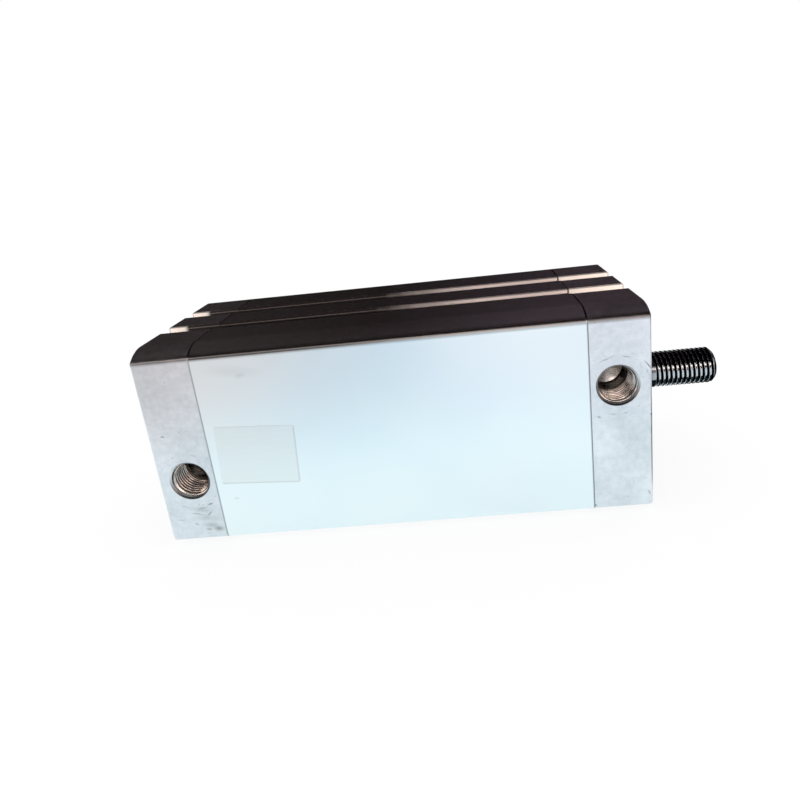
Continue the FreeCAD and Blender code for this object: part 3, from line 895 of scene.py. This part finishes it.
dress([nodes["barrel"]], anodisedExtrusion(extrusion))
dress([nodes["bearing_cap"]], cappedAluminium("bearing_cap", frontPort, bearingCapMarks, capFinish))
dress([nodes["end_cap"]], cappedAluminium("end_cap", rearPort, endCapMarks, capFinish))
dress([rodPiece], groundSteel(rodFinish))
dress([platePiece], silverFilm(filmFinish, plateShape))
dress([sleeves["port_threads"]], tappedAluminium(tappedFinish))
plated = [nodes[n] for n in ("front_collar_screws", "rear_collar_screws", "piston_nut")]
plated += [sleeves[n] for n in ("front_screw_threads", "rear_screw_threads")]
dress(plated, zincPlatedSteel(zincFinish))
dress([nodes["rod_bearing_bush"]], sinteredBronze(bronzeFinish))
dress([nodes["piston_front_half"], nodes["piston_rear_half"]], turnedAluminium(turnedFinish))
for name, s in mouldedFinishes.items():
    dress([nodes[n] for n in s["pieces"]], mouldedPolymer(name, s))
print("finishes set")


# Stage: a pale floor in a white room, a soft front lamp, and studio cards that only reflections
# see. A dark hood is over the top, with two skirts on its right that the rod reflects. A warm strip
# is low in front, with a dark flag before its left part. A glowing sweep card lies on the floor in
# front, with tones from left to right. Dark sheets under the rod and beside its tip are a painted
# shadow that only reflections see.
stage = {
    "floorLevel": -27.3,
    "floorReach": 3000.0,
    "floorColour": "#ffffff",
    "floorGlow": 0.85,
    "cardLift": 1.0,
    "clothLift": 2.0,
    "cardRadius": 600.0,
    "cardReach": (-2500.0, 2500.0),
    "cardRows": 25,
    "hoodAngles": (0.0, 141.0),
    "hoodStops": (-400.0, -145.0, 140.0, 215.0),
    "hoodColours": ("#322828", "#1d1414", "#45343a", "#060405"),
    "hoodFade": (110.0, 240.0),
    "skirtRadius": 595.0,
    "skirtReach": (165.0, 420.0),
    "skirtAngles": (141.0, 150.0),
    "lowSkirtAngles": (161.0, 179.0),
    "stripAngles": (141.5, 178.0),
    "stripColour": "#ffe6dc",
    "stripStrength": 2.3,
    "flagReach": (-480.0, -83.0),
    "flagFade": (-143.0, -83.0),
    "flagY": -420.0,
    "flagTop": 200.0,
    "sweepReach": ((-500.0, 500.0), (-420.0, -60.0)),
    "sweepStops": (-175.0, -80.0, -35.0),
    "sweepColours": ("#eedbd8", "#ced7e3", "#f1ebf1"),
    "sweepNear": "#fafeff",
    "sweepFade": (-130.0, -45.0),
    "sweepStrength": 1.08,
    # dark sheets that stand in for the rod's shadow in reflections
    "rodShadowReach": ((9.0, 72.0), (-24.0, 260.0)),
    "tipShadowReach": ((72.0, 330.0), (18.0, 260.0)),
    "shadowSheetColour": "#252c31",
    "lampPlace": (-60.0, -700.0, 420.0),
    "lampSize": (1200.0, 600.0),
    "lampWatts": 1.7,
}


# Tones one after the other along X
def tonesAlong(tree, along, stops, colours):
    tone = colours[0]
    for i in range(1, len(stops)):
        share = addNode(tree, "MapRange", None, {
            "Value": along, "From Min": stops[i - 1], "From Max": stops[i]})
        tone = addNode(tree, "MixRGB", None, {"Fac": share, "Color1": tone, "Color2": colours[i]})
    return tone


# Floor paint: the camera and reflections see it mostly as even white, and some of the shadow stays
def floorPaint(s):
    material, tree = startMaterial("pale_floor_paint")[:2]
    ray = addNode(tree, "LightPath")
    seen = 0.0
    for kind in ("Is Camera Ray", "Is Glossy Ray", "Is Transmission Ray"):
        seen = addNode(tree, "Math", {"operation": "MAXIMUM"}, {0: seen, 1: ray.outputs[kind]})
    glow = addNode(tree, "Math", {"operation": "MULTIPLY"}, {0: seen, 1: s["floorGlow"]})
    matt = addNode(tree, "BsdfDiffuse", None, {"Color": s["floorColour"]})
    white = addNode(tree, "Emission", None, {"Color": "#ffffff", "Strength": 1.0})
    both = addNode(tree, "MixShader", None, {0: glow, 1: matt, 2: white})
    addNode(tree, "OutputMaterial", None, {"Surface": both})
    return material


# Dark cloth, black near the floor
def hoodCloth(s):
    material, tree, place = startMaterial("hood_cloth")
    axes = addNode(tree, "SeparateXYZ", None, {"Vector": place})
    tone = tonesAlong(tree, axes.outputs["X"], s["hoodStops"], s["hoodColours"])
    low = addNode(tree, "MapRange", None, {
        "Value": axes.outputs["Z"], "From Min": s["hoodFade"][0], "From Max": s["hoodFade"][1]})
    cloth = addNode(tree, "MixRGB", None, {"Fac": low, "Color1": "#000000", "Color2": tone})
    addSurface(tree, {"Base Color": cloth, "Roughness": 1.0, "Specular IOR Level": 0.0})
    return material


# Black cloth, thinning out towards the flag's right edge
def flagCloth(s):
    material, tree, place = startMaterial("flag_cloth")
    axes = addNode(tree, "SeparateXYZ", None, {"Vector": place})
    thin = addNode(tree, "MapRange", None, {
        "Value": axes.outputs["X"], "From Min": s["flagFade"][0], "From Max": s["flagFade"][1]})
    cloth = addNode(tree, "BsdfDiffuse", None, {"Color": "#000000"})
    clear = addNode(tree, "BsdfTransparent")
    both = addNode(tree, "MixShader", None, {0: thin, 1: cloth, 2: clear})
    addNode(tree, "OutputMaterial", None, {"Surface": both})
    return material


# Glowing card on the floor, almost white towards the object
def sweepCard(s):
    material, tree, place = startMaterial("sweep_card")
    axes = addNode(tree, "SeparateXYZ", None, {"Vector": place})
    tone = tonesAlong(tree, axes.outputs["X"], s["sweepStops"], s["sweepColours"])
    near = addNode(tree, "MapRange", None, {
        "Value": axes.outputs["Y"], "From Min": s["sweepFade"][0], "From Max": s["sweepFade"][1]})
    lit = addNode(tree, "MixRGB", None, {"Fac": near, "Color1": tone, "Color2": s["sweepNear"]})
    addSurface(tree, {
        "Base Color": "#000000", "Specular IOR Level": 0.0,
        "Emission Color": lit, "Emission Strength": s["sweepStrength"]})
    return material


# Evenly lit, warm white card
def stripLight(s):
    material, tree = startMaterial("strip_light")[:2]
    addSurface(tree, {
        "Base Color": "#000000", "Specular IOR Level": 0.0,
        "Emission Color": s["stripColour"], "Emission Strength": s["stripStrength"]})
    return material


# Painted shadow: dark sheets under the rod and beside its tip, seen only in reflections
def shadowSheetPaint(s):
    material, tree = startMaterial("painted_shadow_sheet")[:2]
    addSurface(tree, {"Base Color": s["shadowSheetColour"], "Roughness": 1.0, "Specular IOR Level": 0.0})
    return material


# Soft lamp in front and above, which the metal doesn't mirror
def addLamp(s):
    data = bpy.data.lights.new("front_lamp", "AREA")
    data.shape = "RECTANGLE"
    data.size, data.size_y = (v * mm for v in s["lampSize"])
    data.energy = s["lampWatts"]
    lamp = bpy.data.objects.new("front_lamp", data)
    bpy.context.scene.collection.objects.link(lamp)
    place = Vector(s["lampPlace"]) * mm
    aim = Vector((place.x, 0, 0)) - place
    lamp.matrix_world = Matrix.Translation(place) @ aim.to_track_quat("-Z", "Y").to_matrix().to_4x4()
    lamp.visible_glossy = False


# Sheet of points (rows, columns, 3) in mm that isn't part of the object
def stageSheet(name, grid, material, onlyReflected):
    rows, columns = grid.shape[:2]
    index = np.arange(rows * columns).reshape(rows, columns)
    faces = np.stack([index[:-1, :-1], index[:-1, 1:], index[1:, 1:], index[1:, :-1]], axis=-1)
    mesh = bpy.data.meshes.new(name)
    mesh.from_pydata((grid.reshape(-1, 3) * mm).tolist(), [], faces.reshape(-1, 4).tolist())
    mesh.materials.append(material)
    sheet = bpy.data.objects.new(name, mesh)
    bpy.context.scene.collection.objects.link(sheet)
    for ray in ("camera", "diffuse", "shadow", "transmission"):
        setattr(sheet, "visible_" + ray, not onlyReflected)


# Sheet bent round the rod's direction: the angle runs from +Y up over the top to -Y
def bentGrid(s, angles, reach, radius):
    bend, x = np.meshgrid(np.radians(np.linspace(*angles, s["cardRows"])), np.array(reach), indexing="ij")
    z = s["floorLevel"] + s["clothLift"] + radius * np.sin(bend)
    return np.stack([x, radius * np.cos(bend), z], axis=-1)


# Level sheet over a reach in X and one in Y
def levelGrid(reach, level):
    x, y = np.meshgrid(*reach)
    return np.stack([x, y, np.full_like(x, level)], axis=-1)


# Upright sheet in front, facing the object
def flagGrid(s):
    x, z = np.meshgrid(s["flagReach"], [s["floorLevel"] + s["clothLift"], s["flagTop"]])
    return np.stack([x, np.full_like(x, s["flagY"]), z], axis=-1)


def setStage(s):
    floorReach = ((-s["floorReach"], s["floorReach"]), (-s["floorReach"], s["floorReach"]))
    stageSheet("pale_floor", levelGrid(floorReach, s["floorLevel"]), floorPaint(s), False)
    hood = hoodCloth(s)
    shadowPaint = shadowSheetPaint(s)
    cardLevel = s["floorLevel"] + s["cardLift"]
    cards = {
        "dark_hood": (bentGrid(s, s["hoodAngles"], s["cardReach"], s["cardRadius"]), hood),
        "dark_skirt": (bentGrid(s, s["skirtAngles"], s["skirtReach"], s["skirtRadius"]), hood),
        "low_skirt": (bentGrid(s, s["lowSkirtAngles"], s["skirtReach"], s["skirtRadius"]), hood),
        "warm_strip": (bentGrid(s, s["stripAngles"], s["cardReach"], s["cardRadius"]), stripLight(s)),
        "dark_flag": (flagGrid(s), flagCloth(s)),
        "sweep_card": (levelGrid(s["sweepReach"], cardLevel), sweepCard(s)),
        "rod_shadow_sheet": (levelGrid(s["rodShadowReach"], cardLevel), shadowPaint),
        "tip_shadow_sheet": (levelGrid(s["tipShadowReach"], cardLevel), shadowPaint),
    }
    for name, (grid, material) in cards.items():
        stageSheet(name, grid, material, True)
    addLamp(s)


setStage(stage)
world = bpy.data.worlds.new("white_room")
world.use_nodes = True
background = world.node_tree.nodes["Background"]
background.inputs["Color"].default_value = hexColour("#ffffff")
background.inputs["Strength"].default_value = 1.0
bpy.context.scene.world = world
bpy.context.scene.view_settings.view_transform = "Standard"
print("stage set")
